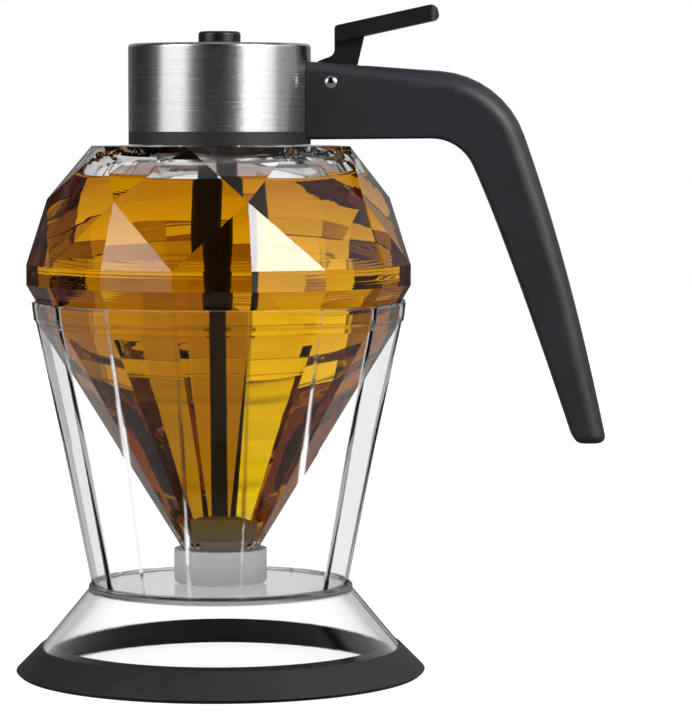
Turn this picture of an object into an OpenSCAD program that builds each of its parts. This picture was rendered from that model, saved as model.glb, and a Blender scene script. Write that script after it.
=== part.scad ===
// Lever honey dispenser: a faceted glass jar that hangs in a clear stand and empties through its tip.
// Origin: the stand's axis on the surface it stands on. +Z is up and the handle points to +X.
// The sizes are millimetres and the heights stack up from the surface, so each piece sits on the last.

/* [Stand] */
// Height of the stand's rim, where the jar hangs
rim_z = 88; // [80:0.5:108]
// Height of the floor that catches the drips
floor_z = 21.4; // [17:0.1:26]
// Height of the bend in the stand's side panels
bend_z = 55.1; // [45:0.1:66]
// Corner radius of the panels at the floor
panel_foot_r = 30.4; // [25:0.1:36]
// Corner radius of the panels at the bend
panel_bend_r = 37.4; // [34:0.1:40]
// Thickness of the panels
panel_t = 2.2; // [1.6:0.1:2.8]
// Height of the band round the rim
rim_band_h = 4.5; // [3:0.1:7]
// Step from the panels out to the rim band
rim_step = 0.5; // [0.2:0.1:1]
// Thickness of the floor
floor_t = 2; // [1.4:0.1:3]
// Bevel round the edge of the floor
floor_bevel = 0.5; // [0.2:0.1:1]
// Radius of the round waist under the panels
waist_r = 31.2; // [28:0.1:38]
// Height of the waist from the skirt to the floor's top
waist_h = 1.4; // [1:0.1:2.4]
// Slope of the skirt: how far it spreads for each millimetre it drops
skirt_slope = 0.83; // [0.6:0.01:1]
// Wall of the skirt, measured level
skirt_t = 2.8; // [2:0.1:3.6]

/* [Foot ring] */
// Height of the lip that holds the skirt
lip_z = 6.6; // [6:0.1:9]
// Height of the groove floor that the skirt stands on
groove_z = 4; // [3.2:0.1:4.8]
// Thickness of the lip at its top
lip_t = 0.4; // [0.3:0.1:1]
// How far the ring stands out past the skirt's line at its widest
ring_reach = 0.65; // [0.5:0.05:3]
// Width of the bevel under the ring's widest edge
ring_bevel_w = 1; // [0.5:0.1:2]
// Height of the ring's widest edge
ring_edge_z = 0.9; // [0.4:0.1:2]
// Width of the flat that meets the surface
ring_flat_w = 3.9; // [2:0.1:5]
// Height of the hollow under the ring's inner part
ring_hollow_z = 2.5; // [1.5:0.1:3]
// Thickness of the wall inside the skirt, measured level
ring_inner_t = 0.5; // [0.4:0.1:1.5]

/* [Jar] */
// Corner radius of the girdle, the jar's widest band
girdle_r = 45.7; // [38:0.1:56]
// How far the girdle stands out past the band that sits in the stand
girdle_overhang = 3.8; // [3.2:0.1:6]
// Width of the shoulder that rests on the stand's rim
shoulder_w = 1.4; // [0.8:0.1:2]
// Height of the bevel from the shoulder to the girdle
bevel_h = 4.1; // [2:0.1:7]
// Height of the girdle
girdle_h = 4.7; // [3:0.1:8]
// Height of the band that sits in the stand's rim
band_h = 5.7; // [4:0.1:8]
// How much narrower the band's lower corner is
band_taper = 0.6; // [0:0.1:1]
// Height of the crown from the girdle to the table
crown_h = 27.6; // [22:0.1:34]
// Height above the girdle of the corners between the kites
kite_corner_h = 15.3; // [12:0.1:18]
// Corner radius of the eight-sided table
table_r = 31.2; // [28:0.1:37]
// Corner radius of the tip
tip_r = 8.8; // [8:0.1:10]
// Wall of the glass
glass_t = 3.6; // [3:0.1:4.4]
// Extra wall behind the girdle's corners
girdle_wall = 0.4; // [0.2:0.1:1]
// Extra wall behind the corners between the kites
kite_wall = 0.5; // [0.2:0.1:1]
// Roundness of the hollow above the bore
hollow_foot_r = 2; // [1:0.5:4]
// Roundness of the hollow at the top of the cone
hollow_cone_r = 12; // [6:0.5:18]
// Roundness of the hollow at the girdle
hollow_girdle_r = 8; // [4:0.5:12]
// Roundness of the hollow behind the kites
hollow_kite_r = 16; // [8:0.5:24]
// Roundness of the hollow under the table
hollow_top_r = 5; // [2:0.5:8]
// Roundness of the edge between the hollow and the neck
hollow_neck_r = 0.9; // [0.4:0.1:2]
// Radius of the bore through the tip
tip_bore_r = 5.9; // [5:0.1:6.2]

/* [Neck and lid] */
// Height of the neck above the table
neck_h = 6.1; // [5:0.1:8]
// Wall of the neck
neck_t = 3.4; // [2.6:0.1:4]
// Thickness of the gasket under the lid plate
gasket_t = 1; // [0.8:0.1:2]
// Thickness of the lid plate
plate_t = 1.8; // [1.4:0.1:2.4]
// Depth of the plate's collar in the neck
plate_collar_h = 2; // [1:0.1:3]
// Thickness of the plate's collar
plate_collar_t = 1.2; // [0.8:0.1:2]
// Radius of the hole for the rod seal
seal_hole_r = 4.4; // [4:0.1:5]
// Width of the seal's flanges past its hole
seal_flange_w = 1.4; // [0.8:0.1:2]
// Thickness of the seal's flanges
seal_flange_t = 0.55; // [0.4:0.05:0.8]
// Length of the sleeve round the rod, from the lid plate down into the jar
sleeve_l = 43.1; // [30:0.1:50]
// Radius of the sleeve
sleeve_r = 3.65; // [3.4:0.05:4.2]
// Radius of the sleeve at its lower end
sleeve_end_r = 2.95; // [2.8:0.05:3.3]
// Length of the sleeve's tapered end
sleeve_taper_h = 9; // [4:0.5:14]
// Room between the rod and the sleeve, which honey fills
sleeve_gap = 0.35; // [0.2:0.05:0.4]
// Depth of the cup that holds the sleeve in the lid plate
cup_h = 3; // [2.4:0.1:4]
// Wall of that cup
cup_t = 1; // [0.8:0.1:1.4]
// Wall of the plate's ring round the cup
cup_ring_t = 1.2; // [0.8:0.1:1.6]

/* [Cap] */
// Outer radius of the steel cap and the collar under it
cap_r = 21.4; // [18:0.1:26]
// Height of the collar that shows under the steel
collar_h = 3.1; // [2:0.1:5]
// Gap between the jar's table and the collar
collar_gap = 0.3; // [0.3:0.1:1]
// Thickness of the steel
steel_t = 0.5; // [0.4:0.1:0.8]
// Radius of the steel cap's top edge
steel_edge_r = 1; // [0.9:0.1:2]
// Thickness of the inner cap's top
deck_t = 0.9; // [0.8:0.1:2]
// Level gap between the neck and the inner cap, which the thread takes up
thread_gap = 0.4; // [0.3:0.1:1]
// Wall of the inner cap beside the neck
cap_wall_t = 2.85; // [2:0.05:4]
// Extra room that the inner cap has above the lid
chamber_relief = 0.6; // [0:0.1:1]
// Width of the ledge that holds the lid plate down
ledge_w = 2.4; // [1.5:0.1:3]
// Thickness of that ledge
ledge_t = 1.2; // [0.8:0.1:1.4]
// Wall left between the neck and the handle's tongue
tongue_wall_t = 0.4; // [0.3:0.05:0.8]

/* [Valve] */
// Radius of the rod
rod_r = 2; // [1.6:0.1:2.2]
// How far the lever lifts the rod
valve_lift = 6.9; // [4:0.1:9]
// Radius of the collar that the lever lifts
lift_collar_r = 5; // [4.5:0.1:5.6]
// Thickness of that collar
lift_collar_t = 1.5; // [1:0.1:2.5]
// Radius of the knob's stem
stem_r = 3; // [2.8:0.1:3.4]
// Wall of the bush that guides the stem
bush_t = 1.35; // [1:0.05:2]
// Drop of the bush under the washer
bush_drop = 0.2; // [0:0.1:0.6]
// Depth of the rod's top under the top of the cap
rod_inset = 1; // [0.5:0.1:3]
// Radius of the knob
knob_r = 4.95; // [4.7:0.05:7]
// Height of the knob
knob_h = 2.5; // [2:0.1:5]
// Gap under the knob when the valve is shut
knob_gap = 0.4; // [0.3:0.1:1]
// Radius of the edge round the knob's top
knob_edge_r = 0.8; // [0.3:0.1:1.5]
// Radius of the rubber plug on the rod's end
plug_r = 5.4; // [5:0.1:6]
// Height of the plug above its seat
plug_h = 7.2; // [5:0.1:9]
// Height of the plug's sloping top
plug_shoulder_h = 1.3; // [0.6:0.1:2]
// Wall of the plug round the rod at its top
plug_collar_t = 1; // [0.6:0.1:2]
// Height of the plug's nose in the nozzle
plug_nose_h = 1.4; // [0.8:0.1:2]
// Depth of the rod in the plug
plug_grip = 5; // [3:0.1:6]

/* [Nozzle] */
// Outer radius of the nozzle under the tip
nozzle_r = 10.65; // [9.5:0.05:13]
// Height of the nozzle under the tip
nozzle_h = 8.1; // [6:0.1:12]
// Gap between the nozzle and the stand's floor
nozzle_gap = 0.3; // [0.3:0.1:2]
// Height of the spigot inside the tip
spigot_h = 3; // [2:0.1:4]
// Radius of the nozzle's outlet
outlet_r = 3.2; // [2.4:0.1:3.6]
// Radius of the seat at the top of the outlet
seat_r = 4.7; // [4:0.1:5]
// Size of the nozzle's lower chamfer
nozzle_chamfer = 0.6; // [0.2:0.1:1.5]

/* [Spring] */
// Diameter of the spring's wire
wire_d = 0.8; // [0.6:0.05:0.9]
// Number of turns
spring_turns = 4; // [3:1:5]
// Radius of the wire's centre at the lower, narrow end
spring_low_r = 4.1; // [4:0.1:4.6]
// Radius of the wire's centre at the upper, wide end
spring_high_r = 8.6; // [7:0.1:12]
// Room that the pressed spring takes up
spring_shut_h = 0.85; // [0.85:0.05:2]
// Thickness of the washer over the spring
washer_t = 0.6; // [0.4:0.1:1]

/* [Lever] */
// Distance from the cap's wall to the lever's pin
pivot_reach = 4.8; // [4.6:0.1:8]
// Radius of the pin
pin_r = 1.5; // [1:0.1:2]
// Height of the pin's domed ends
pin_dome_h = 0.6; // [0.3:0.1:1]
// Width of the lever in its slot
lever_w = 7.8; // [6.4:0.1:8.4]
// Width of the thumb pad
pad_w = 12; // [9:0.5:16]
// Length of the thumb pad past the pin
pad_reach = 25.4; // [20:0.1:32]
// Thickness of the thumb pad
pad_t = 3.75; // [2.5:0.05:5]
// Radius of the pad's upper edge over the pin
pad_heel_r = 0.9; // [0.3:0.1:1.4]
// Radius of the pad's upper edge at its tip
pad_tip_r = 1.7; // [0.5:0.1:2]
// Radius of the pad's lower edge at its tip
pad_tip_low_r = 1.1; // [0.3:0.1:1.4]
// Radius of the pad's front corners, seen from above
pad_corner_r = 2.4; // [0.5:0.1:4]
// Height over the pin at which the pad's underside meets the neck
pad_rise = 10.9; // [10:0.1:14]
// Upward tilt of the pad
pad_tilt = 12.4; // [5:0.1:18]
// Distance past the pin of the neck's back
neck_back_x = 0.8; // [0:0.1:2]
// Distance past the pin of the neck's front, under the pad
neck_front_x = 8; // [6:0.1:10]
// Distance past the pin of the neck's front at its foot
neck_foot_front_x = 6.2; // [5:0.1:7]
// Position past the pin of the back of the neck's foot
neck_foot_back_x = -3.2; // [-3.4:0.1:-1]
// Height over the pin of the neck's foot
neck_foot_z = 4.9; // [4.8:0.1:6]
// Rise from the foot to the bend in the neck's back
neck_back_rise = 1.5; // [1:0.1:3]
// Drop from the foot's height to the bend in the neck's front
neck_front_drop = 0.7; // [0:0.1:2]
// Radius of the corner at the back of the foot
neck_foot_r = 0.4; // [0.2:0.1:1]
// Radius of the bend in the neck's back
neck_back_r = 1.8; // [0.5:0.1:3]
// Radius of the bend in the neck's front
neck_front_r = 0.8; // [0.3:0.1:2]
// Position past the pin of the neck's back where it leaves the boss
neck_root_x = -3.6; // [-4:0.1:-2]
// Height over the pin of that point
neck_root_z = 1.8; // [0.5:0.1:3]
// Position past the pin of the neck's front where it leaves the boss
neck_root_front_x = 3.8; // [2:0.1:4]
// Radius of the round boss on the pin
hub_r = 4.2; // [3.2:0.1:4.3]
// Height of the arm over its centre line, and its depth under it, at the pin
arm_pin_h = 3; // [2:0.1:3.4]
// Height of the arm over its centre line at the edge of the boss
arm_hub_h = 2.2; // [1.4:0.1:3]
// Depth of the arm under its centre line there
arm_hub_drop = 2.6; // [1.4:0.1:3]
// Depth of the arm under its centre line at the fork
arm_fork_drop = 1.4; // [1:0.1:2]
// Height of the fork over the arm's centre line
fork_h = 0.2; // [0:0.05:0.4]
// Depth of the fork's end under that line
fork_end_drop = 0.9; // [0.5:0.1:1.4]
// Room between the lifted collar and the root of the fork
fork_root_gap = 1; // [0.5:0.1:2]
// Radius of the beads on the fork that lift the collar
bead_r = 1.2; // [1:0.1:1.5]
// Width of the fork's slot past the rod, on each side
fork_gap = 0.45; // [0.3:0.05:0.7]
// Gap between the fork and the rod seal when the valve is shut
fork_clearance = 0.65; // [0.6:0.05:1.5]
// Length of the fork past the rod's axis
fork_reach = 2.5; // [2:0.1:4]

/* [Handle] */
// Width of the handle
handle_w = 14; // [12:0.5:18]
// Gap for the fingers between the jar's girdle and the back of the bend
handle_reach = 20.7; // [17:0.1:28]
// Depth of the handle's root
root_h = 18.3; // [17:0.1:20]
// Drop of the handle's root under the top of the cap
root_drop = 4.1; // [3:0.1:5]
// Fall of the handle's top line towards the bend
root_fall = 3.3; // [1:0.1:5]
// Rise of the root's underside towards the bend
root_rise = 0.3; // [0:0.1:1]
// Radius of the bend's outer line
bend_outer_r = 22.5; // [15:0.1:24]
// Radius of the bend's inner line
bend_inner_r = 11; // [8:0.1:14]
// Depth of the handle across its bend, measured level
bend_depth = 9.75; // [8:0.1:12]
// Length of the grip, measured upright from the bend's corner
grip_h = 84.3; // [70:0.1:95]
// How far the grip leans out over its length
grip_lean = 24.2; // [18:0.1:28]
// Bow of the grip's back line
grip_bow = 3.2; // [0:0.1:5]
// Bow of the grip's finger line, near the bend
grip_finger_bow = 1.9; // [0:0.1:4]
// Depth of the grip at its end, measured level
grip_end_depth = 7.7; // [6:0.1:12]
// Radius of the back's two long edges along the bend and the grip
back_edge_r = 4.6; // [1:0.1:5]
// Radius of those edges at the cap
root_edge_r = 2.2; // [1:0.1:4]
// Radius of the finger side's two long edges
finger_edge_r = 0.8; // [0.5:0.1:2]
// Radius at the end of the grip
grip_end_r = 2; // [1:0.1:3]
// Inset of the tongue that joins the handle to the cap, from the root's faces
tongue_inset = 1; // [0.6:0.1:1.4]
// Wall between the cap and the slot's open top
slot_wall_t = 1; // [0.6:0.1:2]
// Depth of the slot for the lever, under the pin
slot_depth = 4.6; // [4.5:0.1:6]

/* [Fits] */
// Play between faces that rest on each other or slide
seat_gap = 0.05; // [0.03:0.01:0.1]
// Play of the jar's band in the stand's rim
rim_gap = 0.4; // [0.3:0.1:0.6]
// Play at each side of the lever in its slot
lever_gap = 0.2; // [0.1:0.05:0.4]
// Radial play of a shaft in its bore
shaft_gap = 0.05; // [0.02:0.01:0.1]
// Radial play of pieces pressed together
press_gap = 0.02; // [0.01:0.01:0.03]
// Radial play of the sleeve's cup round the rod seal
cup_gap = 0.2; // [0.1:0.05:0.4]
// Gap between the plug and its seat in the nozzle
plug_gap = 0.3; // [0.3:0.1:0.6]

/* [Hidden] */
SIDES = 16;
FACET_TURN = 360 / SIDES;
FIRST_CORNER = FACET_TURN / 2;
KITE_CORNER = -90 - FACET_TURN / 2;
ARC_STEPS = 5;
ROUND = 96;
CUT = 1;

// Stand
skirt_top_z = floor_z - waist_h;
skirt_foot_r = waist_r + skirt_slope * (skirt_top_z - groove_z - seat_gap);
lip_skirt_r = waist_r + skirt_slope * (skirt_top_z - lip_z);

// Jar
shoulder_z = rim_z + seat_gap;
band_r = girdle_r - girdle_overhang;
band_low_r = band_r - band_taper;
band_low_z = shoulder_z - band_h;
rim_r = band_r + rim_gap + panel_t;
girdle_low_z = shoulder_z + bevel_h;
girdle_high_z = girdle_low_z + girdle_h;
kite_corner_z = girdle_high_z + kite_corner_h;
table_z = girdle_high_z + crown_h;
kite_line_r = girdle_r + (table_r - girdle_r) * kite_corner_h / crown_h;
kite_corner_r = kite_line_r / cos(FACET_TURN);
nozzle_foot_z = floor_z + nozzle_gap;
tip_z = nozzle_foot_z + nozzle_h;
spigot_top_z = tip_z + spigot_h;
neck_r = cap_r - cap_wall_t - steel_t - seat_gap - thread_gap;
neck_bore_r = neck_r - neck_t;
neck_top_z = table_z + neck_h;

// Lid
gasket_z = neck_top_z + seat_gap;
plate_z = gasket_z + gasket_t + seat_gap;
plate_top_z = plate_z + plate_t;
seal_top_z = plate_top_z + seal_flange_t;
seal_flange_r = seal_hole_r + seal_flange_w;
cup_in_r = seal_flange_r + cup_gap;
cup_r = cup_in_r + cup_t;
sleeve_foot_z = plate_z - sleeve_l;

// Lever and lift collar: the fork's beads lie valve_lift / 2 under the pin when the valve is shut
bead_z = seal_top_z + fork_clearance + bead_r;
pivot_z = bead_z + valve_lift / 2;
pivot_x = cap_r + pivot_reach;
arm_dip = atan(valve_lift / 2 / pivot_x);
arm_l = pivot_x / cos(arm_dip);
lift_collar_z = bead_z + bead_r + seat_gap;
lift_collar_top_z = lift_collar_z + lift_collar_t;

// Cap: it is just tall enough for the raised collar, the pressed spring and its washer
collar_z = table_z + collar_gap;
steel_z = collar_z + collar_h;
washer_z = lift_collar_top_z + valve_lift + spring_shut_h;
deck_z = washer_z + washer_t;
steel_under_z = deck_z + deck_t;
cap_top_z = steel_under_z + steel_t;
inner_cap_r = cap_r - steel_t - seat_gap;
thread_bore_r = neck_r + thread_gap;
chamber_r = thread_bore_r + chamber_relief;
tongue_end_r = thread_bore_r + tongue_wall_t;
ledge_z = plate_top_z + seat_gap;
bush_r = stem_r + shaft_gap + bush_t;
bush_z = washer_z - bush_drop;
knob_z = cap_top_z + knob_gap;
rod_top_z = cap_top_z - rod_inset;

// Handle
root_top_z = cap_top_z - root_drop;
root_low_z = root_top_z - root_h;
tongue_half_w = handle_w / 2 - tongue_inset;
tongue_low_z = steel_z + tongue_inset;
tongue_top_z = root_top_z - tongue_inset;
slot_half_w = lever_w / 2 + lever_gap;
slot_low_z = pivot_z - slot_depth;
bend_x = girdle_r + handle_reach;
bend_top_z = root_top_z - root_fall;
grip_end_z = bend_top_z - grip_h;

// The points of a ring of corners at radius r and height z, the first at angle start
function ring(r, z, sides = SIDES, start = FIRST_CORNER) =
    [for (i = [0 : sides - 1]) [r * cos(start + i * 360 / sides), r * sin(start + i * 360 / sides), z]];

// The triangles between two rings of n points, which start at points a and b
function band(a, b, n) =
    [for (i = [0 : n - 1]) let (j = (i + 1) % n) each [[a + i, a + j, b + j], [a + i, b + j, b + i]]];

// The triangles of a closed fan over n points that start at a, seen from outside or from within
function fan(a, n, flip = false) =
    [for (i = [1 : n - 2]) flip ? [a, a + i + 1, a + i] : [a, a + i, a + i + 1]];

function unit(v) = v / norm(v);

// The arc that rounds the corner q, on the way from p to s, with radius r
function corner_arc(p, q, s, r, steps = ARC_STEPS) =
    let (
        a = unit(p - q),
        b = unit(s - q),
        half = acos(a * b) / 2,
        centre = q + unit(a + b) * r / sin(half),
        from = q + a * r / tan(half) - centre,
        to = q + b * r / tan(half) - centre,
        start = atan2(from.y, from.x),
        turn = atan2(from.x * to.y - from.y * to.x, from * to)
    )
    [for (i = [0 : steps]) let (angle = start + turn * i / steps) centre + r * [cos(angle), sin(angle)]];

// An outline whose corners are [x, y, radius]
function rounded_outline(corners) =
    let (n = len(corners))
    [for (i = [0 : n - 1])
        let (p = corners[(i + n - 1) % n], q = corners[i], s = corners[(i + 1) % n])
        each q[2] > 0 ? corner_arc([p.x, p.y], [q.x, q.y], [s.x, s.y], q[2]) : [[q.x, q.y]]];

// A point on the quadratic curve from a to c that leaves and arrives along lines through b
function curve(a, b, c, t) = (1 - t) * (1 - t) * a + 2 * t * (1 - t) * b + t * t * c;

// A profile in the XZ plane, made w wide about the handle's centre plane
module across(w) {
    rotate([90, 0, 0])
        linear_extrude(w, center = true)
            children();
}

// ---- Stand ----

module stand_panels() {
    outer = [
        [panel_foot_r, floor_z - floor_t / 2],
        [panel_bend_r, bend_z],
        [rim_r - 2 * rim_step, rim_z - rim_band_h],
        [rim_r - rim_step, rim_z - rim_band_h + rim_step],
        [rim_r, rim_z]
    ];
    inner = [
        [band_r + rim_gap, rim_z],
        [band_low_r + rim_gap, band_low_z],
        [panel_bend_r - panel_t, bend_z],
        [panel_foot_r - panel_t, floor_z - floor_t / 2]
    ];
    rings = concat(outer, inner);
    count = len(rings);
    polyhedron(
        points = [for (p = rings) each ring(p[0], p[1])],
        faces = [for (i = [0 : count - 1]) each band(((i + 1) % count) * SIDES, i * SIDES, SIDES)]
    );
}

module stand_cup() {
    color("gainsboro", 0.4) {
        stand_panels();
        rotate_extrude()
            polygon([
                [0, floor_z - floor_t],
                [waist_r + skirt_slope * (skirt_top_z - floor_z + floor_t) - skirt_t, floor_z - floor_t],
                [skirt_foot_r - skirt_t, groove_z + seat_gap],
                [skirt_foot_r, groove_z + seat_gap],
                [waist_r, skirt_top_z],
                [waist_r, floor_z - floor_bevel],
                [waist_r - floor_bevel, floor_z],
                [0, floor_z]
            ]);
    }
}

module foot_ring() {
    lip_r = lip_skirt_r + seat_gap;
    edge_r = skirt_foot_r + skirt_slope * groove_z + ring_reach;
    flat_r = edge_r - ring_bevel_w - ring_flat_w;
    inner_r = lip_skirt_r - skirt_t - seat_gap;
    color("dimgray")
        rotate_extrude()
            polygon([
                [flat_r, 0],
                [edge_r - ring_bevel_w, 0],
                [edge_r, ring_edge_z],
                [lip_r + lip_t, lip_z],
                [lip_r, lip_z],
                [skirt_foot_r + seat_gap, groove_z],
                [skirt_foot_r - skirt_t - seat_gap, groove_z],
                [inner_r, lip_z],
                [inner_r - ring_inner_t, lip_z],
                [inner_r - ring_inner_t, ring_hollow_z],
                [flat_r - ring_bevel_w, ring_hollow_z]
            ]);
}

// ---- Jar ----

// The cut crown: eight kites from the girdle to the table, two triangles under each and one over
// each gap. The table is the height at which the kites close flat.
module jar_stone() {
    rings = [
        [tip_r, tip_z],
        [band_low_r, band_low_z],
        [band_r, shoulder_z],
        [band_r + shoulder_w, shoulder_z],
        [girdle_r, girdle_low_z],
        [girdle_r, girdle_high_z]
    ];
    top = (len(rings) - 1) * SIDES;
    side = len(rings) * SIDES;
    table = side + SIDES / 2;
    half = SIDES / 2;
    points = concat(
        [for (p = rings) each ring(p[0], p[1], SIDES, KITE_CORNER)],
        ring(kite_corner_r, kite_corner_z, half, KITE_CORNER + FACET_TURN),
        ring(table_r, table_z, half, KITE_CORNER)
    );
    faces = concat(
        fan(0, SIDES, true),
        [for (i = [0 : len(rings) - 2]) each band(i * SIDES, (i + 1) * SIDES, SIDES)],
        [for (i = [0 : half - 1]) let (last = (i + half - 1) % half, next = (i + 1) % half) each [
            [top + 2 * i, side + i, table + i],
            [top + 2 * i, table + i, side + last],
            [top + 2 * i, top + 2 * i + 1, side + i],
            [top + 2 * i + 1, top + 2 * next, side + i],
            [side + i, table + next, table + i]
        ]],
        fan(table, half)
    );
    polyhedron(points, [for (f = faces) [f[2], f[1], f[0]]]);
}

// The hollow is round and soft at its corners, as blown glass is, and leaves the wall behind the
// middle of each facet
module jar_hollow() {
    flat = cos(FACET_TURN / 2);
    cone_slope = flat * (band_low_r - tip_r) / (band_low_z - tip_z);
    bore_top_z = tip_z + (tip_bore_r + glass_t - flat * tip_r) / cone_slope;
    girdle_in_r = flat * girdle_r - glass_t - girdle_wall;
    ceiling_z = table_z - glass_t;
    top = neck_top_z + CUT;
    rotate_extrude()
        polygon(rounded_outline([
            [0, tip_z - CUT, 0],
            [tip_bore_r, tip_z - CUT, 0],
            [tip_bore_r, bore_top_z, hollow_foot_r],
            [flat * band_low_r - glass_t, band_low_z, hollow_cone_r],
            [girdle_in_r, girdle_low_z, hollow_girdle_r],
            [girdle_in_r, girdle_high_z, hollow_girdle_r],
            [kite_line_r - glass_t - kite_wall, kite_corner_z, hollow_kite_r],
            [table_r - glass_t, ceiling_z, hollow_top_r],
            [neck_bore_r, ceiling_z, hollow_neck_r],
            [neck_bore_r, top, 0],
            [0, top, 0]
        ]));
}

module glass_jar() {
    color("goldenrod", 0.5)
        difference() {
            union() {
                jar_stone();
                translate([0, 0, table_z - CUT])
                    cylinder(h = neck_h + CUT, r = neck_r, $fn = ROUND);
            }
            jar_hollow();
        }
}

module outlet_nozzle() {
    spigot_r = tip_bore_r - press_gap;
    color("whitesmoke")
        rotate_extrude()
            polygon([
                [outlet_r, nozzle_foot_z],
                [nozzle_r - nozzle_chamfer, nozzle_foot_z],
                [nozzle_r, nozzle_foot_z + nozzle_chamfer],
                [nozzle_r, tip_z],
                [spigot_r, tip_z],
                [spigot_r, spigot_top_z],
                [seat_r, spigot_top_z],
                [outlet_r, spigot_top_z - plug_nose_h]
            ]);
}

// ---- Lid ----

module lid_gasket() {
    color("white")
        rotate_extrude()
            translate([neck_bore_r, gasket_z])
                square([neck_t, gasket_t]);
}

module lid_plate() {
    collar_r = neck_bore_r - thread_gap;
    ring_in_r = cup_r + press_gap;
    color("dimgray")
        rotate_extrude()
            polygon([
                [seal_hole_r, plate_z],
                [ring_in_r, plate_z],
                [ring_in_r, plate_z - plate_collar_h],
                [ring_in_r + cup_ring_t, plate_z - plate_collar_h],
                [ring_in_r + cup_ring_t, plate_z],
                [collar_r - plate_collar_t, plate_z],
                [collar_r - plate_collar_t, plate_z - plate_collar_h],
                [collar_r, plate_z - plate_collar_h],
                [collar_r, plate_z],
                [neck_r, plate_z],
                [neck_r, plate_top_z],
                [seal_hole_r, plate_top_z]
            ]);
}

module rod_seal() {
    body_r = seal_hole_r - press_gap;
    color("white")
        rotate_extrude()
            polygon([
                [rod_r + shaft_gap, plate_z - seal_flange_t],
                [seal_flange_r, plate_z - seal_flange_t],
                [seal_flange_r, plate_z],
                [body_r, plate_z],
                [body_r, plate_top_z],
                [seal_flange_r, plate_top_z],
                [seal_flange_r, seal_top_z],
                [rod_r + shaft_gap, seal_top_z]
            ]);
}

// The sleeve hangs from a cup under the seal and hides the rod in the upper half of the jar
module rod_sleeve() {
    bore_r = rod_r + sleeve_gap;
    cup_top_z = plate_z - seat_gap;
    color("dimgray")
        rotate_extrude()
            polygon([
                [bore_r, sleeve_foot_z],
                [sleeve_end_r, sleeve_foot_z],
                [sleeve_r, sleeve_foot_z + sleeve_taper_h],
                [sleeve_r, plate_z - cup_h],
                [cup_r, plate_z - cup_h],
                [cup_r, cup_top_z],
                [cup_in_r, cup_top_z],
                [cup_in_r, plate_z - cup_h + cup_t],
                [bore_r, plate_z - cup_h + cup_t]
            ]);
}

// ---- Cap ----

// The opening for the handle's tongue in a wall of the cap, open below for the steel
module tongue_window(low_z) {
    translate([0, -tongue_half_w - seat_gap, low_z])
        cube([cap_r + CUT, 2 * (tongue_half_w + seat_gap), tongue_top_z + seat_gap - low_z]);
}

module inner_cap() {
    corner = steel_edge_r;
    color("darkslategray")
        difference() {
            rotate_extrude()
                polygon([
                    [thread_bore_r, collar_z],
                    [cap_r, collar_z],
                    [cap_r, steel_z],
                    [inner_cap_r, steel_z],
                    [inner_cap_r, steel_under_z - corner],
                    [inner_cap_r - corner, steel_under_z],
                    [bush_r + press_gap, steel_under_z],
                    [bush_r + press_gap, deck_z],
                    [chamber_r, deck_z],
                    [chamber_r, ledge_z + ledge_t],
                    [thread_bore_r - ledge_w, ledge_z + ledge_t],
                    [thread_bore_r - ledge_w, ledge_z],
                    [thread_bore_r, ledge_z]
                ]);
            intersection() {
                tongue_window(tongue_low_z - seat_gap);
                difference() {
                    translate([0, 0, collar_z])
                        cylinder(h = cap_top_z - collar_z, r = cap_r + CUT, $fn = ROUND);
                    translate([0, 0, collar_z])
                        cylinder(h = ledge_z + ledge_t - collar_z, r = tongue_end_r, $fn = ROUND);
                }
            }
        }
}

module steel_cap() {
    edge = [for (i = [0 : ARC_STEPS])
        [cap_r - steel_edge_r + steel_edge_r * cos(90 * i / ARC_STEPS),
            cap_top_z - steel_edge_r + steel_edge_r * sin(90 * i / ARC_STEPS)]];
    inside_r = cap_r - steel_t;
    color("silver")
        difference() {
            rotate_extrude()
                polygon(concat(
                    [[inside_r, steel_z], [cap_r, steel_z]],
                    edge,
                    [
                        [bush_r + press_gap, cap_top_z],
                        [bush_r + press_gap, steel_under_z],
                        [inside_r - steel_edge_r + steel_t, steel_under_z],
                        [inside_r, steel_under_z - steel_edge_r + steel_t]
                    ]
                ));
            tongue_window(steel_z - CUT);
        }
}

module guide_bush() {
    color("dimgray")
        translate([0, 0, bush_z])
            difference() {
                cylinder(h = cap_top_z - bush_z, r = bush_r, $fn = ROUND);
                translate([0, 0, -CUT])
                    cylinder(h = cap_top_z - bush_z + 2 * CUT, r = stem_r + shaft_gap, $fn = ROUND);
            }
}

module spring_washer() {
    color("silver")
        translate([0, 0, washer_z])
            difference() {
                cylinder(h = washer_t, r = spring_high_r + wire_d, $fn = ROUND);
                translate([0, 0, -CUT])
                    cylinder(h = washer_t + 2 * CUT, r = bush_r + shaft_gap, $fn = ROUND);
            }
}

// ---- Spring ----

RINGS_PER_TURN = 8;
WIRE_SIDES = 6;
spring_low_z = lift_collar_top_z + wire_d / 2 + seat_gap;
spring_high_z = washer_z - wire_d / 2 - seat_gap;

// The wire's centre line: a cone-shaped helix whose first and last half turns lie flat
function spring_climb(turn) =
    let (flat = 0.5, rising = spring_turns - 2 * flat)
    min(max((turn - flat) / rising, 0), 1);
function spring_point(turn) =
    let (r = spring_low_r + (spring_high_r - spring_low_r) * turn / spring_turns)
    [r * cos(360 * turn), r * sin(360 * turn),
        spring_low_z + (spring_high_z - spring_low_z) * spring_climb(turn)];
spring_path = [for (i = [0 : spring_turns * RINGS_PER_TURN]) spring_point(i / RINGS_PER_TURN)];

// The rings of points round a path, square to it
function wire_ring(path, i) =
    let (
        ahead = path[min(i + 1, len(path) - 1)],
        behind = path[max(i - 1, 0)],
        along = unit(ahead - behind),
        out = unit(cross([0, 0, 1], along)),
        up = cross(along, out)
    )
    [for (k = [0 : WIRE_SIDES - 1])
        path[i] + wire_d / 2 * (cos(360 * k / WIRE_SIDES) * out + sin(360 * k / WIRE_SIDES) * up)];

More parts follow.
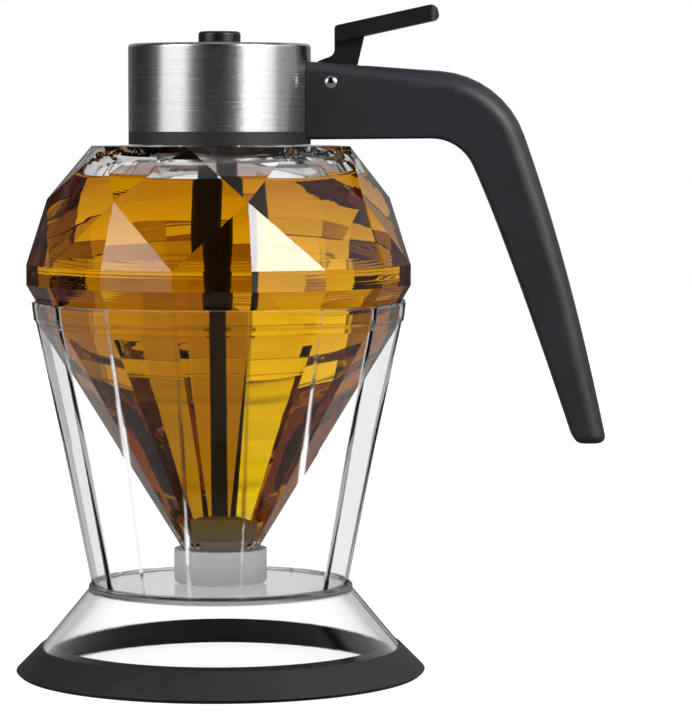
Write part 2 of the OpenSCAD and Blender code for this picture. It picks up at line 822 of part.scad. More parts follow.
// The least gap between stretches of wire that are at least most of a turn apart
spring_gap = min([for (i = [0 : len(spring_path) - 1])
    for (j = [i + RINGS_PER_TURN - 2 : 1 : len(spring_path) - 1])
        norm(spring_path[j] - spring_path[i])]) - wire_d;
echo(least_spring_gap = spring_gap);

module return_spring() {
    last = len(spring_path) - 1;
    color("lightgray")
        polyhedron(
            points = [for (i = [0 : last]) each wire_ring(spring_path, i)],
            faces = concat(
                fan(0, WIRE_SIDES),
                [for (i = [0 : last - 1]) each band((i + 1) * WIRE_SIDES, i * WIRE_SIDES, WIRE_SIDES)],
                fan(last * WIRE_SIDES, WIRE_SIDES, true)
            )
        );
}

// ---- Rod ----

module valve_rod() {
    rod_foot_z = spigot_top_z + plug_gap + plug_h - plug_grip;
    color("saddlebrown")
        translate([0, 0, rod_foot_z])
            cylinder(h = rod_top_z - rod_foot_z, r = rod_r, $fn = ROUND);
}

module rod_knob() {
    edge = [for (i = [0 : ARC_STEPS])
        [knob_r - knob_edge_r + knob_edge_r * cos(90 * i / ARC_STEPS),
            knob_z + knob_h - knob_edge_r + knob_edge_r * sin(90 * i / ARC_STEPS)]];
    color("black")
        rotate_extrude()
            polygon(concat(
                [
                    [rod_r + press_gap, lift_collar_top_z],
                    [stem_r, lift_collar_top_z],
                    [stem_r, knob_z],
                    [knob_r, knob_z]
                ],
                edge,
                [
                    [0, knob_z + knob_h],
                    [0, rod_top_z + press_gap],
                    [rod_r + press_gap, rod_top_z + press_gap]
                ]
            ));
}

module lift_collar() {
    color("gray")
        translate([0, 0, lift_collar_z])
            difference() {
                cylinder(h = lift_collar_t, r = lift_collar_r, $fn = ROUND);
                translate([0, 0, -CUT])
                    cylinder(h = lift_collar_t + 2 * CUT, r = rod_r + press_gap, $fn = ROUND);
            }
}

module valve_plug() {
    foot_z = spigot_top_z + plug_gap;
    top_z = foot_z + plug_h;
    hole_z = top_z - plug_grip - press_gap;
    nose_r = outlet_r - plug_gap;
    color("whitesmoke")
        rotate_extrude()
            polygon([
                [0, foot_z - plug_nose_h],
                [nose_r, foot_z - plug_nose_h],
                [seat_r - plug_gap, foot_z],
                [plug_r, foot_z],
                [plug_r, top_z - plug_shoulder_h],
                [rod_r + plug_collar_t, top_z],
                [rod_r + press_gap, top_z],
                [rod_r + press_gap, hole_z],
                [0, hole_z]
            ]);
}

// ---- Lever ----

// A point x past the pin and a distance over the pad's underside
function on_pad(x, over) = [x, pad_rise + over / cos(pad_tilt) + (x - neck_front_x) * tan(pad_tilt)];
function corner(point, r) = [point.x, point.y, r];

module pad_outline() {
    polygon(rounded_outline([
        corner(on_pad(neck_back_x, 0), 0),
        corner(on_pad(neck_back_x, pad_t), pad_heel_r),
        corner(on_pad(pad_reach - pad_t * sin(pad_tilt), pad_t), pad_tip_r),
        corner(on_pad(pad_reach, 0), pad_tip_low_r),
        corner(on_pad(neck_front_x, 0), 0)
    ]));
}

// The pad seen from above, with its corners rounded
module pad_plan() {
    polygon(rounded_outline([
        [neck_back_x - CUT, -pad_w / 2, 0],
        [pad_reach, -pad_w / 2, pad_corner_r],
        [pad_reach, pad_w / 2, pad_corner_r],
        [neck_back_x - CUT, pad_w / 2, 0]
    ]));
}

module neck_outline() {
    polygon(rounded_outline([
        [neck_root_x, neck_root_z, 0],
        [neck_foot_back_x, neck_foot_z, neck_foot_r],
        [neck_back_x, neck_foot_z + neck_back_rise, neck_back_r],
        corner(on_pad(neck_back_x, CUT), 0),
        corner(on_pad(neck_front_x, CUT), 0),
        [neck_foot_front_x, neck_foot_z - neck_front_drop, neck_front_r],
        [neck_root_front_x, 0, 0]
    ]));
}

// The arm lies along -X from the pin, and its fork straddles the rod
module arm_outline() {
    fork_root = arm_l - lift_collar_r - fork_root_gap;
    fork_end = arm_l + fork_reach;
    polygon([
        [0, arm_pin_h],
        [-hub_r, arm_hub_h],
        [-fork_root, fork_h],
        [-fork_end, fork_h],
        [-fork_end, -fork_end_drop],
        [-fork_root, -arm_fork_drop],
        [-hub_r, -arm_hub_drop],
        [0, -arm_pin_h]
    ]);
}

module trigger_lever() {
    fork_w = 2 * (rod_r + fork_gap);
    fork_l = fork_reach + lift_collar_r + fork_root_gap;
    color("black")
        translate([pivot_x, 0, pivot_z])
            difference() {
                union() {
                    intersection() {
                        across(pad_w)
                            pad_outline();
                        linear_extrude(pad_rise + pad_reach)
                            pad_plan();
                    }
                    across(lever_w)
                        neck_outline();
                    rotate([90, 0, 0])
                        cylinder(h = lever_w, r = hub_r, center = true, $fn = ROUND);
                    rotate([0, -arm_dip, 0]) {
                        across(lever_w)
                            arm_outline();
                        translate([-arm_l, 0, 0])
                            rotate([90, 0, 0])
                                cylinder(h = lever_w, r = bead_r, center = true, $fn = ROUND);
                    }
                }
                rotate([90, 0, 0])
                    cylinder(h = pad_w + 2 * CUT, r = pin_r + shaft_gap, center = true, $fn = ROUND);
                rotate([0, -arm_dip, 0])
                    translate([-arm_l - fork_reach - CUT, -fork_w / 2, -bead_r - CUT])
                        cube([fork_l + CUT, fork_w, 2 * (bead_r + CUT)]);
            }
}

module pivot_pin() {
    half_l = handle_w / 2;
    dome = [for (i = [0 : ARC_STEPS]) let (a = 90 * i / ARC_STEPS)
        [pin_r * cos(a), half_l + pin_dome_h * sin(a)]];
    color("silver")
        translate([pivot_x, 0, pivot_z])
            rotate([90, 0, 0])
                rotate_extrude()
                    polygon(concat(
                        dome,
                        [for (i = [ARC_STEPS : -1 : 0]) [dome[i].x, -dome[i].y]]
                    ));
}

// ---- Handle ----

BEND_STEPS = 8;
GRIP_STEPS = 12;
EDGE_STEPS = 4;
END_STEPS = 4;
// How far inside the cap's outline the handle's loft starts, before the cap is cut out of it
ROOT_SINK = 2;
// Least half width that stays flat between the back's two long edges
inset_least = 0.5;
// How far along the grip each line bows most
BACK_BOW_AT = 0.53;
FINGER_BOW_AT = 0.33;

// The back line and the finger line, as matching lists of points from the cap to the grip's end
back_corner = [bend_x, bend_top_z];
back_end = [bend_x + grip_lean, grip_end_z];
back_mid = back_corner + BACK_BOW_AT * (back_end - back_corner) + [grip_bow, 0];
finger_corner = [bend_x - bend_depth, root_low_z + root_rise];
finger_end = [back_end.x - grip_end_depth, grip_end_z];
finger_mid = finger_corner + FINGER_BOW_AT * (finger_end - finger_corner) + [grip_finger_bow, 0];

function bend_line(root, corner, mid, end, r) =
    let (
        back = unit(root - corner),
        down = unit(mid - corner),
        half = acos(back * down) / 2,
        reach = r / tan(half),
        start = corner + down * reach
    )
    concat(
        [root],
        corner_arc(root, corner, mid, r, BEND_STEPS),
        [for (i = [1 : GRIP_STEPS]) curve(start, mid, end, i / GRIP_STEPS)]
    );

back_line = bend_line([cap_r - ROOT_SINK, root_top_z], back_corner, back_mid, back_end, bend_outer_r);
finger_line = bend_line([cap_r - ROOT_SINK, root_low_z], finger_corner, finger_mid, finger_end, bend_inner_r);

// One cross-section: an oblong with two large edges at the back and two small ones at the fingers
function quarter(cu, cv, r, from) =
    [for (i = [0 : EDGE_STEPS]) let (a = from + 90 * i / EDGE_STEPS) [cu + r * cos(a), cv + r * sin(a)]];
function section(depth, inset, back_r) =
    let (
        w = handle_w / 2 - inset,
        rb = min(back_r, w - inset_least, depth / 2 - inset),
        rf = finger_edge_r
    )
    concat(
        quarter(depth - inset - rf, w - rf, rf, 0),
        quarter(inset + rb, w - rb, rb, 90),
        quarter(inset + rb, -w + rb, rb, 180),
        quarter(depth - inset - rf, -w + rf, rf, 270)
    );
function place(back, finger, inset, back_r = back_edge_r) =
    let (across_line = unit(finger - back))
    [for (p = section(norm(finger - back), inset, back_r))
        [back.x + across_line.x * p[0], p[1], back.y + across_line.y * p[0]]];

module handle_body() {
    last = len(back_line) - 1;
    end_down = unit(back_line[last] - back_line[last - 1]) * grip_end_r;
    sections = concat(
        [for (i = [0 : last])
            place(back_line[i], finger_line[i], 0, i == 0 ? root_edge_r : back_edge_r)],
        [for (i = [1 : END_STEPS]) let (a = 90 * i / END_STEPS)
            place(back_line[last] + end_down * sin(a), finger_line[last] + end_down * sin(a),
                grip_end_r * (1 - cos(a)))]
    );
    n = len(sections[0]);
    count = len(sections);
    polyhedron(
        points = [for (s = sections) each s],
        faces = concat(
            fan(0, n),
            [for (i = [0 : count - 2]) each band((i + 1) * n, i * n, n)],
            fan((count - 1) * n, n, true)
        )
    );
}

module handle() {
    slot_x = pivot_x + neck_front_x;
    color("darkslategray")
        difference() {
            union() {
                difference() {
                    handle_body();
                    translate([0, 0, root_low_z - CUT])
                        cylinder(h = root_h + 2 * CUT, r = cap_r + seat_gap, $fn = ROUND);
                }
                translate([chamber_r + seat_gap, -tongue_half_w, tongue_low_z])
                    cube([cap_r + CUT - chamber_r, 2 * tongue_half_w, tongue_top_z - tongue_low_z]);
            }
            translate([chamber_r - CUT, -slot_half_w, slot_low_z])
                cube([slot_x - chamber_r + CUT, 2 * slot_half_w, tongue_top_z - CUT - slot_low_z]);
            translate([cap_r + slot_wall_t, -slot_half_w, slot_low_z])
                cube([slot_x - cap_r - slot_wall_t, 2 * slot_half_w, root_h]);
            translate([pivot_x, 0, pivot_z])
                rotate([90, 0, 0])
                    cylinder(h = handle_w + 2 * CUT, r = pin_r + press_gap, center = true, $fn = ROUND);
        }
}

stand_cup();
foot_ring();
glass_jar();
outlet_nozzle();
lid_gasket();
lid_plate();
rod_seal();
rod_sleeve();
inner_cap();
steel_cap();
handle();
pivot_pin();
guide_bush();
spring_washer();
return_spring();
trigger_lever();
valve_rod();
rod_knob();
lift_collar();
valve_plug();
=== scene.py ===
import math

import bmesh
import bpy
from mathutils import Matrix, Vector


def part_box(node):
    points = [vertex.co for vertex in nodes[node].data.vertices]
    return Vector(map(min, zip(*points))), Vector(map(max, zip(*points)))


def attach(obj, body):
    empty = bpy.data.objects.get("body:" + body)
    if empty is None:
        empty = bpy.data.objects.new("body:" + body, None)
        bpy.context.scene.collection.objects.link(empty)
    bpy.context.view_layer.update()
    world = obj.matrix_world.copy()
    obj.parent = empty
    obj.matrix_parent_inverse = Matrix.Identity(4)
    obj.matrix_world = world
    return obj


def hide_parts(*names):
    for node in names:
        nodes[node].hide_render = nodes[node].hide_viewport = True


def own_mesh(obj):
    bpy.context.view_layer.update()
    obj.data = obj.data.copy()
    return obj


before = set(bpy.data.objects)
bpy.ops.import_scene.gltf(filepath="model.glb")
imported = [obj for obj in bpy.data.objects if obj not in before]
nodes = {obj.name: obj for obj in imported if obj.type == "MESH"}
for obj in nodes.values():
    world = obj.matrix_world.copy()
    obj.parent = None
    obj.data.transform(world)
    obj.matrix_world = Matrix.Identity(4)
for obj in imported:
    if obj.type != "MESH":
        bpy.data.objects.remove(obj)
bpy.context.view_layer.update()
scene = bpy.context.scene


# ---- Shader helpers ----


def color_ramp(tree, factor, stops, ease=False):
    """A colour ramp from (position, colour) pairs."""
    ramp = tree.nodes.new("ShaderNodeValToRGB")
    if ease:
        ramp.color_ramp.interpolation = "EASE"
    marks = ramp.color_ramp.elements
    while len(marks) < len(stops):
        marks.new(0.5)
    for mark, (position, color) in zip(marks, stops):
        mark.position = position
        mark.color = (*color, 1)
    tree.links.new(factor, ramp.inputs["Fac"])
    return ramp.outputs["Color"]


def level_ramp(tree, factor, stops, ease=False, warmth=1.0):
    """A ramp of levels from (position, level) pairs: grey, or warmer where it is darker."""
    colors = [(at, (level, level**warmth, level ** (2 * warmth - 1))) for at, level in stops]
    return color_ramp(tree, factor, colors, ease)


def math_node(tree, operation, *values):
    made = tree.nodes.new("ShaderNodeMath")
    made.operation = operation
    for socket, value in zip(made.inputs, values):
        if isinstance(value, (int, float)):
            socket.default_value = value
        else:
            tree.links.new(value, socket)
    return made.outputs["Value"]


def split_axes(tree, vector):
    axes = tree.nodes.new("ShaderNodeSeparateXYZ")
    tree.links.new(vector, axes.inputs["Vector"])
    return (axes.outputs[name] for name in "XYZ")


# ---- Materials ----


class Look:
    """One node material. add() makes a node, join() links two sockets."""

    def __init__(self, name):
        self.material = bpy.data.materials.new(name)
        self.material.use_nodes = True
        self.tree = self.material.node_tree
        self.tree.nodes.clear()
        self.out = self.add("ShaderNodeOutputMaterial")
        self.shader = self.add("ShaderNodeBsdfPrincipled")
        self.join(self.shader.outputs["BSDF"], self.out.inputs["Surface"])
        self.place = self.add("ShaderNodeTexCoord").outputs["Object"]
        self.base_color, self.roughness, self.normal = (
            self.shader.inputs[name] for name in ("Base Color", "Roughness", "Normal")
        )

    def add(self, kind, **settings):
        made = self.tree.nodes.new(kind)
        for key, value in settings.items():
            setattr(made, key, value)
        return made

    def join(self, source, target):
        self.tree.links.new(source, target)

    def set(self, **values):
        """Numbers that are the same all over the surface go straight on the shader."""
        for key, value in values.items():
            self.shader.inputs[key.replace("_", " ")].default_value = value
        return self

    def stretched(self, scale):
        mapping = self.add("ShaderNodeMapping")
        mapping.inputs["Scale"].default_value = scale
        self.join(self.place, mapping.inputs["Vector"])
        return mapping.outputs["Vector"]

    def noise(self, scale, detail=2.0, vector=None, roughness=0.5):
        texture = self.add("ShaderNodeTexNoise")
        texture.inputs["Scale"].default_value = scale
        texture.inputs["Detail"].default_value = detail
        texture.inputs["Roughness"].default_value = roughness
        self.join(vector or self.place, texture.inputs["Vector"])
        return texture.outputs["Fac"]

    def ramp(self, factor, low, high, start=0.3, end=0.7):
        return color_ramp(self.tree, factor, ((start, low), (end, high)))

    def by_height(self, stops):
        """Colours by height, from (height, colour) pairs."""
        low, high = stops[0][0], stops[-1][0]
        _, _, height = split_axes(self.tree, self.place)
        share = math_node(self.tree, "MULTIPLY_ADD", height, 1 / (high - low), -low / (high - low))
        shares = [((at - low) / (high - low), color) for at, color in stops]
        return color_ramp(self.tree, share, shares)

    def spread(self, factor, low, high):
        """A number that goes from low to high over the middle half of a noise."""
        change = self.add("ShaderNodeMapRange")
        change.inputs["From Min"].default_value = 0.25
        change.inputs["From Max"].default_value = 0.75
        change.inputs["To Min"].default_value = low
        change.inputs["To Max"].default_value = high
        self.join(factor, change.inputs["Value"])
        return change.outputs["Result"]

    def bump(self, height, depth, under=None):
        bump = self.add("ShaderNodeBump")
        bump.inputs["Distance"].default_value = depth
        self.join(height, bump.inputs["Height"])
        if under:
            self.join(under, bump.inputs["Normal"])
        return bump.outputs["Normal"]

    def absorb(self, color, density):
        volume = self.add("ShaderNodeVolumeAbsorption")
        volume.inputs["Color"].default_value = (*color, 1)
        volume.inputs["Density"].default_value = density
        self.join(volume.outputs["Volume"], self.out.inputs["Volume"])


def moulded_plastic(name, low, high, rough, grain=2600.0, depth=0.00002):
    """Moulded plastic with a fine spark-eroded grain, faint mottling and uneven sheen."""
    mottle_scale, sheen_scale = 70.0, 180.0
    look = Look(name).set(IOR=1.5)
    look.join(look.ramp(look.noise(mottle_scale, 3.0), low, high), look.base_color)
    look.join(look.spread(look.noise(sheen_scale), rough - 0.04, rough + 0.05), look.roughness)
    look.join(look.bump(look.noise(grain, 3.0), depth), look.normal)
    return look.material


def brushed_steel(name, low, high, rough):
    """Steel brushed round the cap's axis: level lines on the side and rings on the top."""
    across, along, brush_depth = 7000.0, 45.0, 0.000012
    look = Look(name).set(Metallic=1.0, Anisotropic=0.8, Anisotropic_Rotation=0.25)
    x, y, z = split_axes(look.tree, look.place)
    flat = look.add("ShaderNodeCombineXYZ")
    look.join(x, flat.inputs["X"])
    look.join(y, flat.inputs["Y"])
    reach = look.add("ShaderNodeVectorMath", operation="LENGTH")
    look.join(flat.outputs["Vector"], reach.inputs[0])
    line = math_node(look.tree, "SUBTRACT", z, reach.outputs["Value"])
    strokes = look.add("ShaderNodeCombineXYZ")
    look.join(math_node(look.tree, "MULTIPLY", x, along), strokes.inputs["X"])
    look.join(math_node(look.tree, "MULTIPLY", y, along), strokes.inputs["Y"])
    look.join(math_node(look.tree, "MULTIPLY", line, across), strokes.inputs["Z"])
    brush = look.noise(1.0, 4.0, strokes.outputs["Vector"], 0.65)
    look.join(look.ramp(brush, low, high), look.base_color)
    look.join(look.spread(brush, rough - 0.05, rough + 0.07), look.roughness)
    look.join(look.bump(brush, brush_depth), look.normal)
    tangent = look.add("ShaderNodeTangent", direction_type="RADIAL", axis="Z")
    look.join(tangent.outputs["Tangent"], look.shader.inputs["Tangent"])
    return look.material


def polished_steel(name, low, high, rough):
    """Polished steel with a faint cloud and a very fine ripple."""
    cloud_scale, ripple_scale, ripple_depth = 400.0, 2500.0, 0.000004
    look = Look(name).set(Metallic=1.0)
    cloud = look.noise(cloud_scale, 3.0)
    look.join(look.ramp(cloud, low, high), look.base_color)
    look.join(look.spread(cloud, rough, rough + 0.05), look.roughness)
    look.join(look.bump(look.noise(ripple_scale), ripple_depth), look.normal)
    return look.material


def clear_solid(name, ior, color, density, wave_scale, wave_depth, shine=1.0, edge=0.0):
    """Clear glass or acrylic, tinted with depth and faintly wavy. edge rounds its corners off."""
    haze_scale, most_haze = 500.0, 0.012
    look = Look(name).set(IOR=ior, Transmission_Weight=1.0, Base_Color=(1, 1, 1, 1))
    look.set(Specular_Tint=(shine, shine, shine, 1))
    look.join(look.spread(look.noise(haze_scale), 0.0, most_haze), look.roughness)
    soft_edge = None
    if edge:
        rounded = look.add("ShaderNodeBevel", samples=4)
        rounded.inputs["Radius"].default_value = edge
        soft_edge = rounded.outputs["Normal"]
    look.join(look.bump(look.noise(wave_scale, 1.0), wave_depth, soft_edge), look.normal)
    look.absorb(color, density)
    return look.material


def honey_look(name, ripple, shine):
    """Runny honey, with level ripples that the blown wall prints on it. Where it wets the glass it
    has no shine of its own, and shine is 0."""
    haze_scale, most_haze, ripple_scales = 90.0, 0.01, (14.0, 14.0, 170.0)
    look = Look(name).set(IOR=1.49, Transmission_Weight=1.0, Specular_Tint=(shine, shine, shine, 1))
    # Base colour by height; the browner crown is painted shade
    look.join(look.by_height(HONEY_TINTS_AND_SHADE), look.base_color)
    look.join(look.spread(look.noise(haze_scale), 0.0, most_haze), look.roughness)
    look.join(look.bump(look.noise(1.0, 1.0, look.stretched(ripple_scales)), ripple), look.normal)
    look.absorb(*HONEY_DEPTH)
    return look.material


def soft_silicone(name, low, high, through, rough):
    """Frosted silicone: milky, with a little light passing through it."""
    cloud_scale, sheen_scale, grain, grain_depth = 220.0, 300.0, 3000.0, 0.00002
    look = Look(name).set(IOR=1.41, Transmission_Weight=through)
    look.join(look.ramp(look.noise(cloud_scale, 3.0), low, high), look.base_color)
    look.join(look.spread(look.noise(sheen_scale), rough - 0.06, rough + 0.06), look.roughness)
    look.join(look.bump(look.noise(grain, 3.0), grain_depth), look.normal)
    return look.material


def neutral(level):
    return (level, level, level)


PLUG_LOW, PLUG_HIGH = (corner.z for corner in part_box("valve_plug"))
HONEY_TOP = 0.1165
GOLD = (1.0, 0.72, 0.008)
# Height, and the honey's colour there: pale at the tip, where it is thin, and browner towards the
# crown, which is painted shade
HONEY_TINTS_AND_SHADE = (
    (PLUG_LOW, (1.0, 0.95, 0.7)),
    (PLUG_HIGH, (1.0, 0.8, 0.08)),
    (PLUG_HIGH + 0.004, GOLD),
    (0.085, GOLD),
    (0.1, (0.62, 0.34, 0.004)),
    (HONEY_TOP, (0.36, 0.15, 0.002)),
)
# The colour that deep honey lets through, and how dense the honey is
HONEY_DEPTH = ((0.965, 0.87, 0.0), 40.0)
GLASS = dict(
    ior=1.52, color=(0.52, 0.57, 0.53), density=8.0, wave_scale=55.0, wave_depth=0.00006
)

# Plastics and rubber: the darkest and lightest colour, and the roughness
charcoal = moulded_plastic("charcoal_plastic", (0.017, 0.0165, 0.021), (0.024, 0.0235, 0.029), 0.46)
black_lever = moulded_plastic(
    "black_lever_plastic", (0.007, 0.007, 0.008), (0.011, 0.011, 0.012), 0.34
)
black_knob = moulded_plastic(
    "black_knob_plastic", (0.004, 0.004, 0.0045), (0.008, 0.008, 0.009), 0.3
)
inside_black = moulded_plastic(
    "inside_black_plastic", (0.012, 0.012, 0.013), (0.02, 0.02, 0.022), 0.5
)
rod_plastic = moulded_plastic("rod_plastic", (0.012, 0.006, 0.004), (0.022, 0.011, 0.007), 0.3)
ring_rubber = moulded_plastic(
    "ring_rubber", (0.008, 0.008, 0.009), (0.014, 0.014, 0.016), 0.56, grain=1900.0, depth=0.00004
)
frosted = soft_silicone("frosted_silicone", neutral(0.95), neutral(0.98), 0.3, 0.5)
white_silicone = soft_silicone("white_silicone", (0.7, 0.7, 0.69), (0.8, 0.8, 0.79), 0.1, 0.5)

# Metals
cap_steel = brushed_steel("cap_steel", (0.6, 0.595, 0.58), (0.7, 0.695, 0.68), 0.23)
washer_steel = brushed_steel("washer_steel", neutral(0.42), neutral(0.58), 0.3)
spring_wire = polished_steel("spring_wire", neutral(0.4), neutral(0.58), 0.24)
pin_chrome = polished_steel("pin_chrome", (0.72, 0.72, 0.73), (0.82, 0.82, 0.83), 0.06)

# Clear things
jar_glass = clear_solid("jar_glass", **GLASS)
dry_glass = clear_solid("neck_glass", **GLASS)
stand_acrylic = clear_solid(
    "stand_acrylic", 1.49, (0.5, 0.53, 0.56), 14.0, 40.0, 0.00003, shine=0.12, edge=0.001
)
honey_material = honey_look("runny_honey", 0.00022, 0)
honey_surface = honey_look("honey_surface", 0.00003, 1)

node_looks = {
    "stand_cup": stand_acrylic,
    "foot_ring": ring_rubber,
    "glass_jar": jar_glass,
    "outlet_nozzle": frosted,
    "lid_gasket": white_silicone,
    "lid_plate": inside_black,
    "rod_seal": white_silicone,
    "rod_sleeve": rod_plastic,
    "inner_cap": charcoal,
    "steel_cap": cap_steel,
    "handle": charcoal,
    "pivot_pin": pin_chrome,
    "guide_bush": inside_black,
    "spring_washer": washer_steel,
    "return_spring": spring_wire,
    "trigger_lever": black_lever,
    "valve_rod": rod_plastic,
    "rod_knob": black_knob,
    "lift_collar": inside_black,
    "valve_plug": frosted,
}
for name, material in node_looks.items():
    slots = nodes[name].material_slots
    if not slots:
        nodes[name].data.materials.append(material)
    for slot in slots:
        slot.material = material


# ---- Softened edges on the CAD nodes ----

SAME_POINT = 0.000004
FLAT_WITHIN = 0.4
FACE_WEIGHT = 90


def soften(obj, width, angle):
    """Joins the faces that the import split, rounds or splits the edges sharper than angle, and
    shades smoothly."""
    weld = obj.modifiers.new("weld", "WELD")
    weld.merge_threshold = SAME_POINT
    if width:
        flatten = obj.modifiers.new("flatten", "DECIMATE")
        flatten.decimate_type = "DISSOLVE"
        flatten.angle_limit = math.radians(FLAT_WITHIN)
        bevel = obj.modifiers.new("bevel", "BEVEL")
        bevel.width = width
        bevel.segments = 2
        bevel.limit_method = "ANGLE"
        bevel.angle_limit = math.radians(angle)
    else:
        split = obj.modifiers.new("split", "EDGE_SPLIT")
        split.split_angle = math.radians(angle)
    shade = obj.modifiers.new("shade", "WEIGHTED_NORMAL")
    shade.weight = FACE_WEIGHT
    shade.keep_sharp = False


# Radius of the rounded edge, 0 for none, and the angle from which an edge counts
edge_looks = {
    "handle": (0.0003, 38),
    "trigger_lever": (0.00035, 30),
    "inner_cap": (0.0002, 40),
    "foot_ring": (0.0003, 30),
    "outlet_nozzle": (0.0002, 30),
    "rod_knob": (0, 35),
    "steel_cap": (0, 35),
}
for name, (width, angle) in edge_looks.items():
    soften(nodes[name], width, angle)


# ---- Honey ----


def wall_radius(obj, height, turn):
    """The radius of the jar's inner wall at a height, found by a ray from its axis."""
    way = Vector((math.cos(turn), math.sin(turn), 0))
    hit, point, _, _ = obj.ray_cast(Vector((0, 0, height)), way)
    return math.hypot(point.x, point.y) if hit else 0.0


def placed(name, mesh):
    """The object of a finished bmesh."""
    data = bpy.data.meshes.new(name)
    mesh.to_mesh(data)
    mesh.free()
    obj = bpy.data.objects.new(name, data)
    scene.collection.objects.link(obj)
    return obj


def lathe(name, profile, sides):
    """A closed solid turned round Z from (radius, height) points that start and end on the axis."""
    mesh = bmesh.new()
    rings = []
    for radius, height in profile:
        if radius < 1e-7:
            rings.append([mesh.verts.new((0, 0, height))])
        else:
            turns = [2 * math.pi * i / sides for i in range(sides)]
            around = [(radius * math.cos(turn), radius * math.sin(turn), height) for turn in turns]
            rings.append([mesh.verts.new(place) for place in around])
    for low, high in zip(rings, rings[1:]):
        for i in range(sides):
            j = (i + 1) % sides
            if len(low) == 1:
                corners = (low[0], high[j], high[i])
            elif len(high) == 1:
                corners = (low[i], low[j], high[0])
            else:
                corners = (low[i], low[j], high[j], high[i])
            mesh.faces.new(corners).smooth = True
    return placed(name, mesh)


HONEY_STEP = 0.0008
# How far the honey reaches into the glass, so that no film of air is left between them
INTO_WALL = 0.00008
# Where the wall is measured, in radians round from +X, clear of the mesh's seam
PROBE_TURN = 0.13
MENISCUS_RISE = 0.0006
MENISCUS_WIDTH = 0.003
MENISCUS_SHARES = (0.15, 0.35, 0.6, 1.0)
HONEY_SIDES = 160
WET_STOPS = 20
HALF_GLASS = 0.0015
# A ramp holds numbers up to 1, so it holds a radius in shares of this one
RADIUS_UNIT = 0.05
# Shine kept on the jar's outside within the stand: painted shade on its reflection
IN_STAND_SHADED_SHINE = 0.25

honey_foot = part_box("outlet_nozzle")[1].z - INTO_WALL
steps = int((HONEY_TOP - honey_foot) / HONEY_STEP)
wall = []
for step in range(steps + 1):
    height = honey_foot + (HONEY_TOP - honey_foot) * step / steps
    found = wall_radius(nodes["glass_jar"], max(height, honey_foot + 2 * INTO_WALL), PROBE_TURN)
    wall.append((found + INTO_WALL, height))
rim_radius = wall[-1][0]
top = [
    (rim_radius - MENISCUS_WIDTH * share, HONEY_TOP - MENISCUS_RISE * (1 - (1 - share) ** 2))
    for share in MENISCUS_SHARES
]
profile = [(0, honey_foot), *wall, *top, (0, HONEY_TOP - MENISCUS_RISE)]
honey = lathe("honey", profile, HONEY_SIDES)
honey.data.materials.append(honey_material)
honey.data.materials.append(honey_surface)
for face in honey.data.polygons:
    if face.index >= len(wall) * HONEY_SIDES:
        face.material_index = 1
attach(honey, "jar")


def wet_inside(material):
    """Takes the shine off the glass where honey wets it: inside the middle of the wall, up to the
    honey's top. On the cone's outside, within the stand, the shine is dimmed too, as painted shade
    on its reflection."""
    tree = material.node_tree
    shader = next(node for node in tree.nodes if node.type == "BSDF_PRINCIPLED")
    place = next(node for node in tree.nodes if node.type == "TEX_COORD").outputs["Object"]
    x, y, z = split_axes(tree, place)
    span = HONEY_TOP - honey_foot
    share = math_node(tree, "MULTIPLY_ADD", z, 1 / span, -honey_foot / span)
    inner = [wall[round(steps * i / WET_STOPS)] for i in range(WET_STOPS + 1)]
    stops = [
        ((height - honey_foot) / span, (radius + HALF_GLASS) / RADIUS_UNIT)
        for radius, height in inner
    ]
    reach = math_node(tree, "MULTIPLY", level_ramp(tree, share, stops), RADIUS_UNIT)
    squares = (math_node(tree, "POWER", axis, 2.0) for axis in (x, y))
    flat = math_node(tree, "SQRT", math_node(tree, "ADD", *squares))
    # Dimmer shine below the stand's top: painted shade on the reflection
    open_air = math_node(tree, "GREATER_THAN", z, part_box("stand_cup")[1].z)
    shine = math_node(tree, "MULTIPLY_ADD", open_air, 1.0 - IN_STAND_SHADED_SHINE, IN_STAND_SHADED_SHINE)
    outside = math_node(tree, "MULTIPLY", math_node(tree, "GREATER_THAN", flat, reach), shine)
    over_honey = math_node(tree, "GREATER_THAN", share, 1.0)
    dry = math_node(tree, "MAXIMUM", outside, over_honey)
    tree.links.new(dry, shader.inputs["Specular Tint"])


wet_inside(jar_glass)


# ---- Spring, a copy carried by the head ----

TURN_TO_TURN = 70


def pressed_spring():
    """Stands for the CAD spring: a copy of it, carried by the head, that hides the CAD spring and
    is smoothly shaded.
    """
    coil = bpy.data.objects.new("spring_coil", nodes["return_spring"].data.copy())
    coil.matrix_world = nodes["return_spring"].matrix_world
    scene.collection.objects.link(coil)
    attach(coil, "head")
    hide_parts("return_spring")
    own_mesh(coil)
    soften(coil, 0, TURN_TO_TURN)


pressed_spring()


# ---- Screw thread on the neck ----

THREAD_PITCH = 0.004
THREAD_TURNS = 0.95
THREAD_HEIGHT = 0.00032
THREAD_HALF_W = 0.0007
THREAD_STEPS = 120
THREAD_FADE = 0.08
THREAD_UNDER_TOP = 0.0046
# Out and up from the neck's wall, in shares of the thread's height and half width
THREAD_PROFILE = ((-0.2, -1.0), (1.0, -0.35), (1.0, 0.35), (-0.2, 1.0))


